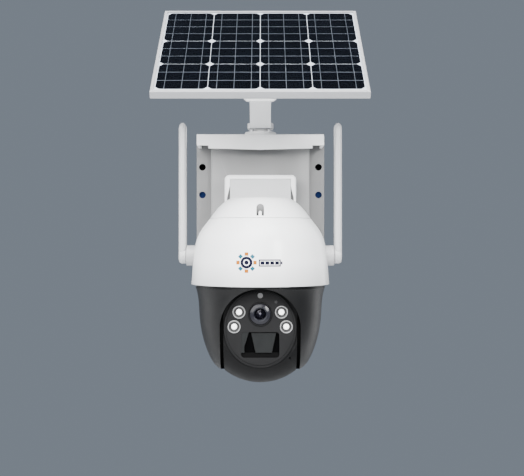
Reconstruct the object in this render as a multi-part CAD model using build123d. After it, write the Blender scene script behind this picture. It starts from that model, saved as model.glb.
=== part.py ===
from build123d import *
import os
from math import cos, radians, sin

# Solar-powered pan and tilt camera, in millimetres.
# Frame: the wall is the plane Y = 0 and the camera looks along -Y, with +Z up.
# Origin: centre of the four wall holes, on the back of the wall plate.

# ---------------------------------------------------------------- driving sizes
CAMERA_Y = -100.0            # vertical pan axis of the camera
TILT_Z = -149.0              # horizontal tilt axis of the ball
ANTENNA_Z = -80.5            # pivot of both antennas
FIT = 0.05                   # radial clearance of every running fit
PLAY = 0.1                   # gap around covers and windows

PLATE_HALF = 70.5            # wall plate
PLATE_TOP = 44.8
PLATE_BOTTOM = -105.0
PLATE_THICK = 4.0
PAN_HALF = 54.4              # raised middle of the wall plate
PAN_DEPTH = 12.0
HOLE_HALF_X = 64.2
HOLE_HALF_Z = 15.35
HOLE_R = 3.7

HOOD_HALF = 67.9             # hood over the wall plate
HOOD_DEPTH = 40.0
HOOD_TOP = 47.8
HOOD_NOTCH_X = 55.5
HOOD_NOTCH_Z = 36.0

NECK_HALF = 37.5             # hollow arm between plate and housing
NECK_FRONT = -60.0
NECK_TOP = 3.0
NECK_BOTTOM = -76.0
NECK_WALL = 3.2

SHELL_WALL = 2.6             # white housing, as radius and height
SEAM_Z = -44.0
DOME = [(28.5, -23.5), (35.0, -26.8), (43.6, -34.8), (50.5, SEAM_Z), (60.6, -58.2), (65.7, -76.0), (68.7, -108.5)]

YOKE_WALL = 2.5              # dark head below it, as radius and height
YOKE = [(64.5, -111.5), (61.9, -122.4), (60.5, -141.5), (57.4, -160.7), (51.6, -177.9), (43.5, -190.3), (38.0, -193.4)]
DRUM_R = 64.0
DECK_TOP = -86.0
HUB_R = 18.45
CHEEK_X = 38.5               # inner face of both cheeks
CHEEK_PLATE = 2.5

BALL_R = 57.5                # camera ball, cut flat at both sides and in front
BALL_HALF = 35.2
BALL_WALL = 2.5
BALL_FRONT = 43.0
AXLE_R = 6.0

FACE_A, FACE_C = 34.7, 37.5  # half width and half height of the oval face plate
FACE_RIM = 2.2               # raised rim round it, set off by a fine groove
FACE_PROUD = 2.0
LENS_AT = (0.0, 13.6)
LENS_R = 11.5
LENS_LIP = 1.3
LAMPS_AT = [(-20.2, 15.5), (20.2, 15.5), (-24.8, 1.6), (24.8, 1.6)]
LAMP_RING_R = 6.3
LAMP_RING_BAND = 1.15
LAMP_R = 3.0
SENSOR_AT = (0.0, 31.2)
SENSOR_R = 2.5
INDICATOR_AT = (15.0, 25.1)
MIC_AT = (28.3, -28.7)
WINDOW_BOX = (-18.2, 18.2, -27.8, -3.5)    # motion-sensor window: left, right, low, high
WINDOW_CORNER = 3.0
WINDOW_FACET = [(-8.7, -4.3), (15.1, -4.3), (11.1, -23.1), (-4.4, -23.1)]
WINDOW_SILL = [(-18.1, -3.6), (-10.8, -3.6), (-15.1, -17.3), (-15.1, -23.1), (-18.1, -23.1)]

PAN_TEETH, PAN_PINION_TEETH = 60, 15       # gears, module 1
TILT_TEETH, TILT_PINION_TEETH = 36, 12

HINGE_Y, HINGE_Z = -100.0, 107.0           # tilt hinge of the solar panel
PANEL_SLOPE = 39.0
PANEL_HALF_U, PANEL_HALF_V = 101.0, 85.0
PANEL_BACK, PANEL_FACE = 14.0, 22.0        # heights above the hinge axis, square to the panel
FRAME_WALL = 2.2
FRAME_LIP, LIP_THICK = 2.9, 0.9
GLASS_THICK = 2.0
CELL_COLUMNS, CELL_BANDS = 4, (4, 3, 3)
CELL_BORDER = 4.6
CELL_GAP = 1.1
CELL_SLANT = 3.2                           # cut-off corners of the cells
STRIP_LINE = 0.3                           # gap between neighbouring strips
RIBBON_HALF = 0.3
SWIVEL_Y = -22.0

PORT_ANGLE, POWER_ANGLE = 40.0, 140.0      # round the housing, from +X towards the wall
PORT_Z = -69.7


# ---------------------------------------------------------------- helpers
def block(x0, x1, y0, y1, z0, z1):
    """Box between two corners."""
    return Pos((x0 + x1) / 2, (y0 + y1) / 2, (z0 + z1) / 2) * Box(x1 - x0, y1 - y0, z1 - z0)


def rod(radius, start, end):
    """Round bar from one point to another."""
    start, end = Vector(*start), Vector(*end)
    length = (end - start).length
    bottom = (Align.CENTER, Align.CENTER, Align.MIN)
    return Plane(origin=start, z_dir=end - start) * Cylinder(radius, length, align=bottom)


def hexagon(across, start, end):
    """Six-sided bar, such as a bolt head or nut."""
    start, end = Vector(*start), Vector(*end)
    face = RegularPolygon(across / 2, 6, major_radius=False)
    return Plane(origin=start, z_dir=end - start) * extrude(face, (end - start).length)


def profile(points, inset=0.0):
    """Smooth outline through (radius, height) points, moved square to itself towards the inside."""
    curve = Spline(*[(r, 0, z) for r, z in points])
    if inset == 0.0:
        return curve
    steps = 16
    moved = []
    for step in range(steps + 1):
        along = curve % (step / steps)
        moved.append(curve @ (step / steps) + Vector(along.Z, 0, -along.X) * inset)
    return Spline(*moved)


def spun(points, inset=0.0):
    """Full solid under a smooth outline, spun round the camera's pan axis."""
    curve = profile(points, inset)
    top, low = curve @ 0, curve @ 1
    rest = Polyline(low, (0, 0, low.Z), (0, 0, top.Z), top)
    return Pos(0, CAMERA_Y, 0) * revolve(make_face(curve + rest), Axis.Z)


def round_pan(inner, outer, low, high):
    """Ring round the pan axis; an inner radius of 0 makes a disc."""
    ring = rod(outer, (0, CAMERA_Y, low), (0, CAMERA_Y, high))
    return ring - rod(inner, (0, CAMERA_Y, low), (0, CAMERA_Y, high)) if inner else ring


def at_angle(part, degrees):
    """Turn a part made on the +X side of the pan axis to another side of the housing."""
    return Pos(0, CAMERA_Y, 0) * (Rot(0, 0, degrees) * (Pos(0, -CAMERA_Y, 0) * part))


def mirrored(part):
    return mirror(part, Plane.YZ)


def spur_gear(teeth, thickness, bore):
    """Module 1 spur gear on Z, with one tooth centred on +X."""
    pitch = teeth / 2
    flank = [(pitch - 1.25, 0.31), (pitch, 0.215), (pitch + 0.75, 0.11)]
    outline = []
    for tooth in range(teeth):
        middle = 360 * tooth / teeth
        for radius, share in flank:
            outline.append((radius, middle - share * 360 / teeth))
        for radius, share in reversed(flank):
            outline.append((radius, middle + share * 360 / teeth))
    points = [(radius * cos(radians(a)), radius * sin(radians(a))) for radius, a in outline]
    wheel = extrude(make_face(Polyline(*points, close=True)), thickness)
    return wheel - Cylinder(bore, 3 * thickness) if bore else wheel


def upright_prism(points, y0, y1):
    """Prism of an outline given as (x, z), between two Y planes."""
    corners = [(x, y0, z) for x, z in points]
    return extrude(make_face(Polyline(*corners, close=True)), y1 - y0, dir=(0, 1, 0))


def face_prism(points, y0, y1):
    """The same with heights counted from the tilt axis."""
    return upright_prism([(x, TILT_Z + z) for x, z in points], y0, y1)


def face_window(inset, y0, y1):
    """Rounded rectangle of the motion-sensor window, drawn in on all sides."""
    left, right, low, high = WINDOW_BOX
    slab = block(left + inset, right - inset, y0, y1, TILT_Z + low + inset, TILT_Z + high - inset)
    return fillet(slab.edges().filter_by(Axis.Y), WINDOW_CORNER - inset)


def face_rod(radius, at, y0, y1):
    return rod(radius, (at[0], y0, TILT_Z + at[1]), (at[0], y1, TILT_Z + at[1]))


def face_oval(a, c, y0, y1):
    oval = Plane(origin=(0, y1, TILT_Z), x_dir=(1, 0, 0), z_dir=(0, -1, 0)) * Ellipse(a, c)
    return extrude(oval, y1 - y0)


# ---------------------------------------------------------------- wall bracket
def wall_plate():
    flange = block(-PLATE_HALF, PLATE_HALF, -PLATE_THICK, 0, PLATE_BOTTOM, PLATE_TOP)
    flange = fillet(flange.edges().filter_by(Axis.Y).group_by(Axis.Z)[0], 6)
    pan = block(-PAN_HALF, PAN_HALF, -PAN_DEPTH, -PLATE_THICK, PLATE_BOTTOM + 6, PLATE_TOP)
    pan = fillet(pan.edges().filter_by(Axis.Z).group_by(Axis.Y)[0], 2.5)
    inside = PAN_HALF - 3
    hollow = block(-inside, inside, -PAN_DEPTH + 3, 0, PLATE_BOTTOM + 9, PLATE_TOP - 9)
    shelf = block(-30, 30, -36, -PAN_DEPTH, PLATE_TOP - 4, PLATE_TOP)
    plate = flange + pan - hollow + shelf
    for x in (-HOLE_HALF_X, HOLE_HALF_X):
        for z in (-HOLE_HALF_Z, HOLE_HALF_Z):
            plate -= rod(HOLE_R, (x, -6, z), (x, 1, z))
    for x, z in ARM_SCREWS:
        plate -= rod(2.1, (x, -PAN_DEPTH - 1, z), (x, 0, z))
    plate -= rod(4.3, (0, SWIVEL_Y, PLATE_TOP - 5), (0, SWIVEL_Y, PLATE_TOP + 1))
    return cut_swivel_screws(plate)


def cut_swivel_screws(part):
    for x, y in SWIVEL_SCREWS:
        part -= rod(1.45, (x, y, PLATE_TOP - 5), (x, y, HOOD_TOP + 6))
    return part


def roof_hood():
    """Pressed hood: flat top, two ends and a lip that comes to a shallow point in its middle."""
    top = block(-HOOD_HALF, HOOD_HALF, -HOOD_DEPTH, 0, PLATE_TOP, HOOD_TOP)
    lip = [(-HOOD_HALF, HOOD_TOP), (-HOOD_HALF, HOOD_NOTCH_Z), (-HOOD_NOTCH_X, HOOD_NOTCH_Z),
           (-HOOD_NOTCH_X, 32.8), (0, 31.4), (HOOD_NOTCH_X, 32.8), (HOOD_NOTCH_X, HOOD_NOTCH_Z),
           (HOOD_HALF, HOOD_NOTCH_Z), (HOOD_HALF, HOOD_TOP)]
    front = make_face(Polyline(*[(x, -HOOD_DEPTH, z) for x, z in lip], close=True))
    hood = top + extrude(front, 3, dir=(0, 1, 0))
    end = block(HOOD_HALF - 3, HOOD_HALF, -HOOD_DEPTH, -PLATE_THICK, HOOD_NOTCH_Z, HOOD_TOP)
    hood = hood + end + mirrored(end)
    rims = hood.edges().filter_by(Axis.X).group_by(Axis.Z)[-1].sort_by(Axis.Y)[0]
    hood = fillet(rims, 1.5)
    hood -= rod(4.3, (0, SWIVEL_Y, PLATE_TOP - 1), (0, SWIVEL_Y, HOOD_TOP + 1))
    return cut_swivel_screws(hood)


ARM_SCREWS = [(-29.0, -12.0), (29.0, -12.0), (-29.0, -62.0), (29.0, -62.0)]


NECK_MOUTH = [(-31.8, -1.2), (31.8, -1.2), (31.8, -8.5), (34.9, -21), (34.9, -60),
              (-34.9, -60), (-34.9, -21), (-31.8, -8.5)]
COVER_SETBACK = 0.7


def neck_arm():
    """Hollow arm that carries the housing: open to the plate, saddle-shaped where it meets the dome."""
    arm = block(-NECK_HALF, NECK_HALF, NECK_FRONT, -PAN_DEPTH, NECK_BOTTOM, NECK_TOP)
    arm = fillet(arm.edges().filter_by(Axis.Y).group_by(Axis.Z)[-1], 5)
    arm = fillet(arm.faces().sort_by(Axis.Y)[0].outer_wire().edges().group_by(Axis.Z)[-1], 2.5)
    side = NECK_HALF - NECK_WALL
    hollow = block(-side, side, NECK_FRONT + NECK_WALL, -PAN_DEPTH, NECK_BOTTOM + NECK_WALL, NECK_TOP - NECK_WALL)
    hollow -= spun(DOME, -3.0)
    for x, z in ARM_SCREWS:
        inner, outer = sorted((x, x * 36 / 29))
        hollow -= rod(5, (x, -32, z), (x, -PAN_DEPTH, z))
        hollow -= block(inner, outer, -32, -PAN_DEPTH, z - 3, z + 3)
    arm = arm - hollow - upright_prism(NECK_MOUTH, NECK_FRONT - 1, NECK_FRONT + NECK_WALL + 1)
    arm -= spun(DOME)
    for x, z in ARM_SCREWS:
        arm -= rod(1.95, (x, -26, z), (x, -PAN_DEPTH, z))
    return arm.solids().sort_by(SortBy.VOLUME)[-1]


def neck_cover():
    """Slightly convex insert in the arm's mouth; its backing plate closes the slim gap at each side."""
    outline = [(-31.7, -1.3), (31.7, -1.3), (31.7, -34), (-31.7, -34)]
    bulge = 700.0
    centre = NECK_FRONT + COVER_SETBACK + bulge
    seat = NECK_FRONT + NECK_WALL
    front = upright_prism(outline, -70, seat) & rod(bulge, (0, centre, -60), (0, centre, 10))
    backing = upright_prism([(x * 0.996, z - PLAY) for x, z in NECK_MOUTH], seat - 0.1, seat + 0.9)
    backing &= block(-40, 40, -70, 0, -34, 0)
    return front + backing - spun(DOME)


def arm_screws():
    screws = []
    for x, z in ARM_SCREWS:
        head = rod(3.6, (x, -PAN_DEPTH + 3, z), (x, -PAN_DEPTH + 5.8, z))
        drive = hexagon(2.6, (x, -PAN_DEPTH + 4.3, z), (x, -PAN_DEPTH + 6, z))
        screws.append(head + rod(1.9, (x, -25.5, z), (x, -PAN_DEPTH + 3, z)) - drive)
    return screws


# ---------------------------------------------------------------- solar mount
SWIVEL_SCREWS = [(sx * 9.2, SWIVEL_Y + sy * 9.2) for sx in (-1, 1) for sy in (-1, 1)]
SWIVEL_TOP = HOOD_TOP + 7.2
ARM_HALF = 11.0
EAR_THICK = 4.0
EAR_X = ARM_HALF + 0.2


def swivel_base():
    disc = rod(17, (0, SWIVEL_Y, HOOD_TOP), (0, SWIVEL_Y, HOOD_TOP + 3.6))
    disc = fillet(disc.edges().group_by(Axis.Z)[-1], 1)
    base = disc + rod(8.5, (0, SWIVEL_Y, HOOD_TOP), (0, SWIVEL_Y, SWIVEL_TOP))
    base -= rod(4.3, (0, SWIVEL_Y, HOOD_TOP - 1), (0, SWIVEL_Y, SWIVEL_TOP + 1))
    return cut_swivel_screws(base)


def swivel_screws():
    screws = []
    for x, y in SWIVEL_SCREWS:
        head = rod(2.5, (x, y, HOOD_TOP + 3.6), (x, y, HOOD_TOP + 5.8))
        drive = hexagon(2, (x, y, HOOD_TOP + 4.8), (x, y, HOOD_TOP + 6))
        screws.append(head + rod(1.4, (x, y, PLATE_TOP - 3), (x, y, HOOD_TOP + 3.6)) - drive)
    return screws


def swivel_bolt():
    """Pivot bolt through base, hood and plate shelf, with its lock nut below."""
    top = SWIVEL_TOP + 6
    bolt = hexagon(12, (0, SWIVEL_Y, top), (0, SWIVEL_Y, top + 5))
    bolt += rod(4.0, (0, SWIVEL_Y, PLATE_TOP - 12), (0, SWIVEL_Y, top))
    nut = hexagon(12, (0, SWIVEL_Y, PLATE_TOP - 10), (0, SWIVEL_Y, PLATE_TOP - 4))
    nut -= rod(4.0, (0, SWIVEL_Y, PLATE_TOP - 13), (0, SWIVEL_Y, PLATE_TOP - 3))
    return [bolt, nut]


def swivel_arm():
    """Mast: a round foot on the swivel base, then a leaning bar up to the panel's hinge eye."""
    foot = rod(14, (0, SWIVEL_Y, SWIVEL_TOP), (0, SWIVEL_Y, SWIVEL_TOP + 6))
    side = [(-14, SWIVEL_TOP), (-38, SWIVEL_TOP), (HINGE_Y - 3.2, HINGE_Z - 4.2), (HINGE_Y + 3.2, HINGE_Z + 4.2),
            (-31, SWIVEL_TOP + 6), (-14, SWIVEL_TOP + 6)]
    bar = make_face(Polyline(*[(-ARM_HALF, y, z) for y, z in side], close=True))
    bar = extrude(bar, 2 * ARM_HALF, dir=(1, 0, 0))
    slope = (HINGE_Z - SWIVEL_TOP) / (HINGE_Y + 35)
    groove_low = (-48, SWIVEL_TOP + 1.5 + slope * (-48 + 31) + 1.5)
    groove_high = (-86, groove_low[1] + slope * (-86 + 48))
    arm = foot + bar + rod(9, (-ARM_HALF, HINGE_Y, HINGE_Z), (ARM_HALF, HINGE_Y, HINGE_Z))
    for x in (-ARM_HALF, ARM_HALF):
        for y, z in (groove_low, groove_high):
            arm -= rod(2.2, (x - 1.6, y, z), (x + 1.6, y, z))
    arm -= rod(4.0 + FIT, (0, SWIVEL_Y, SWIVEL_TOP - 1), (0, SWIVEL_Y, SWIVEL_TOP + 8))
    arm -= rod(3.0 + FIT, (-ARM_HALF - 1, HINGE_Y, HINGE_Z), (ARM_HALF + 1, HINGE_Y, HINGE_Z))
    return arm


def tilt_bolt():
    outer = EAR_X + EAR_THICK + PLAY
    head = hexagon(10, (-outer - 4, HINGE_Y, HINGE_Z), (-outer, HINGE_Y, HINGE_Z))
    return head + rod(3.0, (-outer, HINGE_Y, HINGE_Z), (outer + 8, HINGE_Y, HINGE_Z))


def tilt_knob():
    """Clamp knob with five round lobes on the hinge bolt."""
    start = EAR_X + EAR_THICK + PLAY
    hub = rod(7, (start, HINGE_Y, HINGE_Z), (start + 12, HINGE_Y, HINGE_Z))
    grip = rod(8.5, (start + 3, HINGE_Y, HINGE_Z), (start + 11, HINGE_Y, HINGE_Z))
    for lobe in range(5):
        turn = radians(72 * lobe)
        y, z = HINGE_Y + 7.2 * sin(turn), HINGE_Z + 7.2 * cos(turn)
        grip += rod(3.6, (start + 3, y, z), (start + 11, y, z))
    knob = hub + grip
    return knob - rod(3.0 + FIT, (start - 1, HINGE_Y, HINGE_Z), (start + 9, HINGE_Y, HINGE_Z))


# ---------------------------------------------------------------- solar panel
def on_panel(part):
    """Tilt a part built flat, with the hinge axis along X through the origin, into its place."""
    return Pos(0, HINGE_Y, HINGE_Z) * (Rot(PANEL_SLOPE, 0, 0) * part)


BRACKET_SCREWS = [(u, v) for u in (-11.0, 11.0) for v in (-79.5, 79.5)]
GLASS_LOW = PANEL_FACE - LIP_THICK - GLASS_THICK
CELL_TOP = GLASS_LOW - 0.15
BACKSHEET_TOP = CELL_TOP - 0.25


def panel_bracket():
    strap = block(-15.2, 15.2, -84, 84, PANEL_BACK - 2.5, PANEL_BACK)
    bracket = fillet(strap.edges().filter_by(Axis.Z), 4)
    for x in (EAR_X, -EAR_X - EAR_THICK):
        bracket += block(x, x + EAR_THICK, -8.5, 8.5, 0, PANEL_BACK - 2.5)
        bracket += rod(8.5, (x, 0, 0), (x + EAR_THICK, 0, 0))
        bracket -= rod(3.0 + FIT, (x - 1, 0, 0), (x + EAR_THICK + 1, 0, 0))
    for u, v in BRACKET_SCREWS:
        bracket -= rod(1.6, (u, v, PANEL_BACK - 4), (u, v, PANEL_BACK + 1))
    return bracket


def bracket_screws():
    screws = []
    for u, v in BRACKET_SCREWS:
        head = rod(2.8, (u, v, PANEL_BACK - 4.5), (u, v, PANEL_BACK - 2.5))
        drive = hexagon(2, (u, v, PANEL_BACK - 5), (u, v, PANEL_BACK - 3.4))
        screws.append(head + rod(1.5, (u, v, PANEL_BACK - 2.5), (u, v, PANEL_BACK + 1.2)) - drive)
    return screws


def frame_rail(half_length, half_across):
    """Rail along X at the -Y edge: outer wall, lip over the glass, ledge under it, mitred ends."""
    back, face = PANEL_BACK, PANEL_FACE
    ledge, glass_top = BACKSHEET_TOP - 0.6, face - LIP_THICK
    section = [(0, back), (13, back), (13, back + 1.3), (FRAME_WALL, back + 1.3), (FRAME_WALL, ledge - 1.2),
               (6, ledge - 1.2), (6, ledge), (FRAME_WALL, ledge), (FRAME_WALL, glass_top),
               (FRAME_LIP, glass_top), (FRAME_LIP, face), (0, face)]
    edge = -half_across
    face_2d = make_face(Polyline(*[(-half_length, edge + s, w) for s, w in section], close=True))
    rail = extrude(face_2d, 2 * half_length, dir=(1, 0, 0))
    rounded = rail.edges().filter_by(Axis.X).group_by(Axis.Y)[0]
    rail = fillet(rounded, 1.1)
    reach = 20
    mitre = [(-half_length, edge), (half_length, edge), (half_length - reach, edge + reach),
             (reach - half_length, edge + reach)]
    wedge = make_face(Polyline(*[(x, y, back - 1) for x, y in mitre], close=True))
    return rail & extrude(wedge, face - back + 2, dir=(0, 0, 1))


def long_rail():
    rail = frame_rail(PANEL_HALF_U, PANEL_HALF_V)
    for u in (-11.0, 11.0):
        rail -= rod(1.55, (u, -79.5, PANEL_BACK - 1), (u, -79.5, PANEL_BACK + 2))
    return rail


def short_rail():
    return Rot(0, 0, 90) * frame_rail(PANEL_HALF_V, PANEL_HALF_U)


def corner_keys():
    low, high = PANEL_BACK + 1.35, BACKSHEET_TOP - 1.85
    keys = []
    for sx in (-1, 1):
        for sy in (-1, 1):
            x, y = sx * (PANEL_HALF_U - FRAME_WALL - 0.1), sy * (PANEL_HALF_V - FRAME_WALL - 0.1)
            along = block(*sorted((x, x - sx * 22)), *sorted((y, y - sy * 6)), low, high)
            across = block(*sorted((x, x - sx * 6)), *sorted((y, y - sy * 22)), low, high)
            keys.append(along + across)
    return keys


def laminate(low, high):
    u, v = PANEL_HALF_U - FRAME_WALL - 0.1, PANEL_HALF_V - FRAME_WALL - 0.1
    return block(-u, u, -v, v, low, high)


def cell_grid():
    """Left edge and width of every column, and low edge and depth of every strip."""
    width = (2 * (PANEL_HALF_U - CELL_BORDER) - (CELL_COLUMNS - 1) * CELL_GAP) / CELL_COLUMNS
    rows = sum(CELL_BANDS)
    depth = (2 * (PANEL_HALF_V - CELL_BORDER) - (len(CELL_BANDS) - 1) * CELL_GAP) / rows
    columns = [-PANEL_HALF_U + CELL_BORDER + n * (width + CELL_GAP) for n in range(CELL_COLUMNS)]
    strips = []
    far = PANEL_HALF_V - CELL_BORDER
    for band in CELL_BANDS:
        for row in range(band):
            strips.append((far - depth, row == 0, row == band - 1))
            far -= depth
        far -= CELL_GAP
    return columns, width, strips, depth


def solar_cells():
    """Thin cell strips; the corners of each band of strips are cut off at a slant."""
    columns, width, strips, depth = cell_grid()
    cells = []
    for left in columns:
        for low, first, last in strips:
            right, high = left + width, low + depth - STRIP_LINE
            near, far = (CELL_SLANT if last else 0), (CELL_SLANT if first else 0)
            points = [(left + near, low), (right - near, low)]
            points += [(right, low + near)] if near else []
            points += [(right, high - far), (right - far, high)] if far else [(right, high)]
            points += [(left + far, high), (left, high - far)] if far else [(left, high)]
            points += [(left, low + near)] if near else []
            face = make_face(Polyline(*[(x, y, BACKSHEET_TOP) for x, y in points], close=True))
            cells.append(extrude(face, CELL_TOP - BACKSHEET_TOP, dir=(0, 0, 1)))
    return cells


def cell_ribbons():
    """Three flat tinned ribbons over each column of strips."""
    columns, width, _, _ = cell_grid()
    reach = PANEL_HALF_V - CELL_BORDER + 0.8
    ribbons = []
    for left in columns:
        for share in (1 / 6, 1 / 2, 5 / 6):
            x = left + share * width
            ribbons.append(block(x - RIBBON_HALF, x + RIBBON_HALF, -reach, reach, CELL_TOP, CELL_TOP + 0.14))
    return ribbons


JUNCTION = (30.0, 66.0, 34.0, 62.0)
GLAND_DROP = 2.0


def junction_box():
    """Box on the panel's back, closed by the backsheet, with a boss for the lead gland."""
    u0, u1, v0, v1 = JUNCTION
    top = BACKSHEET_TOP - 0.6
    low = PANEL_BACK - 6.5
    case = block(u0, u1, v0, v1, low, top)
    case = fillet(case.edges().filter_by(Axis.Z), 4)
    case = fillet(case.faces().sort_by(Axis.Z)[0].edges(), 1.5)
    case -= block(u0 + 2, u1 - 2, v0 + 2, v1 - 2, low + 2, top)
    middle = (u0 + u1) / 2
    w = PANEL_BACK - GLAND_DROP
    return case - rod(2.75, (middle, v0 - 1, w), (middle, v0 + 3, w))


def lead_gland():
    u0, u1, v0, _ = JUNCTION
    middle, w = (u0 + u1) / 2, PANEL_BACK - GLAND_DROP
    gland = rod(2.7, (middle, v0 - 8, w), (middle, v0 + 2.8, w))
    gland += hexagon(8.5, (middle, v0 - 3, w), (middle, v0, w))
    gland += rod(3.6, (middle, v0 - 8, w), (middle, v0 - 3, w))
    return gland - rod(1.75, (middle, v0 - 9, w), (middle, v0 + 5, w))


# ---------------------------------------------------------------- white housing
def radial_block(r0, r1, half_width, z0, z1, degrees):
    return at_angle(block(r0, r1, CAMERA_Y - half_width, CAMERA_Y + half_width, z0, z1), degrees)


PORT_DOOR = (13.0, PORT_Z - 6.3, PORT_Z + 6.3)
HINGE_OUT = 62.55            # barrel hinge along the port door's top edge
HINGE_R = 0.95
HINGE_PIN_R = 0.45
HINGE_KNUCKLE = 4.0
HINGE_REACH = 7.5


def hinge_rod(radius, start, end):
    axis_z = PORT_DOOR[2]
    return at_angle(rod(radius, (HINGE_OUT, CAMERA_Y + start, axis_z), (HINGE_OUT, CAMERA_Y + end, axis_z)),
                    PORT_ANGLE)


def dome_wall():
    return spun(DOME) - spun(DOME, SHELL_WALL)


def upper_shell():
    wall = dome_wall() - round_pan(0, 80, SEAM_Z, 0)
    ledge = round_pan(42.2, 49.5, SEAM_Z - 3, SEAM_Z - 0.4) & spun(DOME, 0.5)
    spigot = round_pan(42.2, 44.8, SEAM_Z - 1, SEAM_Z + 1.4)
    shell = wall + ledge + spigot
    half, low, high = PORT_DOOR
    shell -= radial_block(50, 75, half + 0.4, low - 0.4, high + 0.4, PORT_ANGLE)
    shell -= hinge_rod(HINGE_R + PLAY, -HINGE_KNUCKLE, HINGE_KNUCKLE)
    for start, end in ((-HINGE_REACH, -HINGE_KNUCKLE), (HINGE_KNUCKLE, HINGE_REACH)):
        shell += hinge_rod(HINGE_R, start, end)
    shell += hinge_rod(HINGE_PIN_R, -HINGE_KNUCKLE, HINGE_KNUCKLE)
    shell -= at_angle(rod(5.6, (50, CAMERA_Y, PORT_Z), (75, CAMERA_Y, PORT_Z)), POWER_ANGLE)
    for x in (-62, 62):
        shell -= rod(3.5 + FIT, (x - 10, CAMERA_Y, ANTENNA_Z), (x + 10, CAMERA_Y, ANTENNA_Z))
    return shell.solids().sort_by(SortBy.VOLUME)[-1]


NOTCH_HALF = 3.7             # arched notch in the front of the cap
NOTCH_LOW, NOTCH_ARCH = -41.8, -33.9
NOTCH_FLOOR = CAMERA_Y - 39.0


def top_cap():
    """Cap of the dome, with an arched, upright-floored notch at its front and a short rib in it."""
    cap = dome_wall() - round_pan(0, 80, -120, SEAM_Z)
    groove = round_pan(0, 80, SEAM_Z, SEAM_Z + 0.6) - spun(DOME, 0.9)
    boss = block(-6, 6, -160, NOTCH_FLOOR + 2, NOTCH_LOW - 0.6, -28.5) & spun(DOME, 0.2)
    notch = block(-NOTCH_HALF, NOTCH_HALF, -160, NOTCH_FLOOR, NOTCH_LOW, NOTCH_ARCH)
    notch += rod(NOTCH_HALF, (0, -160, NOTCH_ARCH), (0, NOTCH_FLOOR, NOTCH_ARCH))
    rib = block(-1.4, 1.4, -160, NOTCH_FLOOR + 1, NOTCH_LOW - 0.3, -38.6)
    rib += rod(1.4, (0, -160, -38.6), (0, NOTCH_FLOOR + 1, -38.6))
    return cap - groove + boss - notch + (rib & spun(DOME, 0.9))


def chassis_plate():
    plate = round_pan(22, 63.3, -84, -81)
    for degrees in (60, 180, 300):
        plate -= at_angle(rod(6, (42, CAMERA_Y, -85), (42, CAMERA_Y, -80)), degrees)
    return plate


def pan_bearing():
    return round_pan(HUB_R + FIT, 22, -84, -79.5)


PAN_CENTRES = (PAN_TEETH + PAN_PINION_TEETH) / 2
GEAR_LOW = -78.5


def pan_gear():
    gear = Rot(0, 0, 90) * spur_gear(PAN_TEETH, 5, 14)
    for degrees in range(0, 360, 60):
        gear -= Rot(0, 0, degrees) * (Pos(21.5, 0, 0) * Cylinder(4, 20))
    return Pos(0, CAMERA_Y, GEAR_LOW) * gear


def pan_pinion():
    y = CAMERA_Y + PAN_CENTRES
    wheel = Pos(0, y, GEAR_LOW) * (Rot(0, 0, 90) * spur_gear(PAN_PINION_TEETH, 5, 0))
    return wheel + rod(2.5, (0, y, GEAR_LOW), (0, y, GEAR_LOW + 10))


def pan_motor():
    """Can motor on a cross plate with two standing posts."""
    y = CAMERA_Y + PAN_CENTRES
    base = GEAR_LOW + 6.5
    motor = rod(14, (0, y, base), (0, y, base + 17))
    motor += block(-21, 21, y - 4, y + 4, base, base + 1.2)
    for x in (-17.5, 17.5):
        motor += rod(3, (x, y, -81), (x, y, base))
    return motor - rod(2.5 + FIT, (0, y, base - 1), (0, y, base + 4.5))


CELL_Y = (-128.0, -109.0, -90.0)
TRAY_LOW = -72.0


def battery_tray():
    tray = block(-36, 36, -138.8, -79.2, TRAY_LOW, TRAY_LOW + 13)
    return tray - block(-34.4, 34.4, -137.4, -80.6, TRAY_LOW + 1.5, TRAY_LOW + 14)


def battery_cells():
    z = TRAY_LOW + 1.5 + 9.2
    cells = []
    for y in CELL_Y:
        cells.append(rod(9.2, (-32.5, y, z), (31, y, z)) + rod(3, (31, y, z), (32.5, y, z)))
    return cells


def main_board():
    board = block(-30, 30, -132, -78, -50.4, -48.8)
    board += block(-9, 9, -118, -100, -48.8, -47.2)
    board += block(12, 24, -96, -84, -48.8, -46.4)
    board += block(-24, -12, -92, -84, -48.8, -45.8)
    for n in range(4):
        board += rod(2.4, (-22 + 6 * n, -126, -48.8), (-22 + 6 * n, -126, -43.6))
    return board


def antenna_base(side):
    base = rod(10, (58, CAMERA_Y, ANTENNA_Z), (73.6, CAMERA_Y, ANTENNA_Z))
    base = fillet(base.edges().sort_by(Axis.X)[-1], 0.8)
    base = base - spun(DOME)
    base += rod(3.5, (63.9, CAMERA_Y, ANTENNA_Z), (72, CAMERA_Y, ANTENNA_Z))
    base -= rod(2.5 + FIT, (68, CAMERA_Y, ANTENNA_Z), (75, CAMERA_Y, ANTENNA_Z))
    return base if side > 0 else mirrored(base)


def antenna(side):
    """Flat paddle with a narrowing round tip, on a pin through its foot."""
    x0, x1 = 73.8, 81.2
    middle, thick = (x0 + x1) / 2, x1 - x0
    foot = rod(8, (x0, CAMERA_Y, ANTENNA_Z), (x1, CAMERA_Y, ANTENNA_Z))
    foot = fillet(foot.edges().sort_by(Axis.X)[-1], 3)
    foot = fillet(foot.edges().sort_by(Axis.X)[0], 0.8)
    sections = [(-80.5, thick, 14.4), (-20, thick, 13.6), (45.6, thick, 12.2)]
    tip = [(45.6, thick, 12.2), (48.0, 6.9, 11.2), (49.8, 5.7, 9.6), (51.1, 3.9, 7.2), (51.8, 1.8, 4.4)]

    def sheets(rows):
        return [Pos(middle, CAMERA_Y, z) * RectangleRounded(w, d, 0.44 * w) for z, w, d in rows]

    paddle = foot + loft(sheets(sections), ruled=True) + loft(sheets(tip), ruled=True)
    paddle += rod(2.5, (68.6, CAMERA_Y, ANTENNA_Z), (x0 + 2, CAMERA_Y, ANTENNA_Z))
    return paddle if side > 0 else mirrored(paddle)


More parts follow.
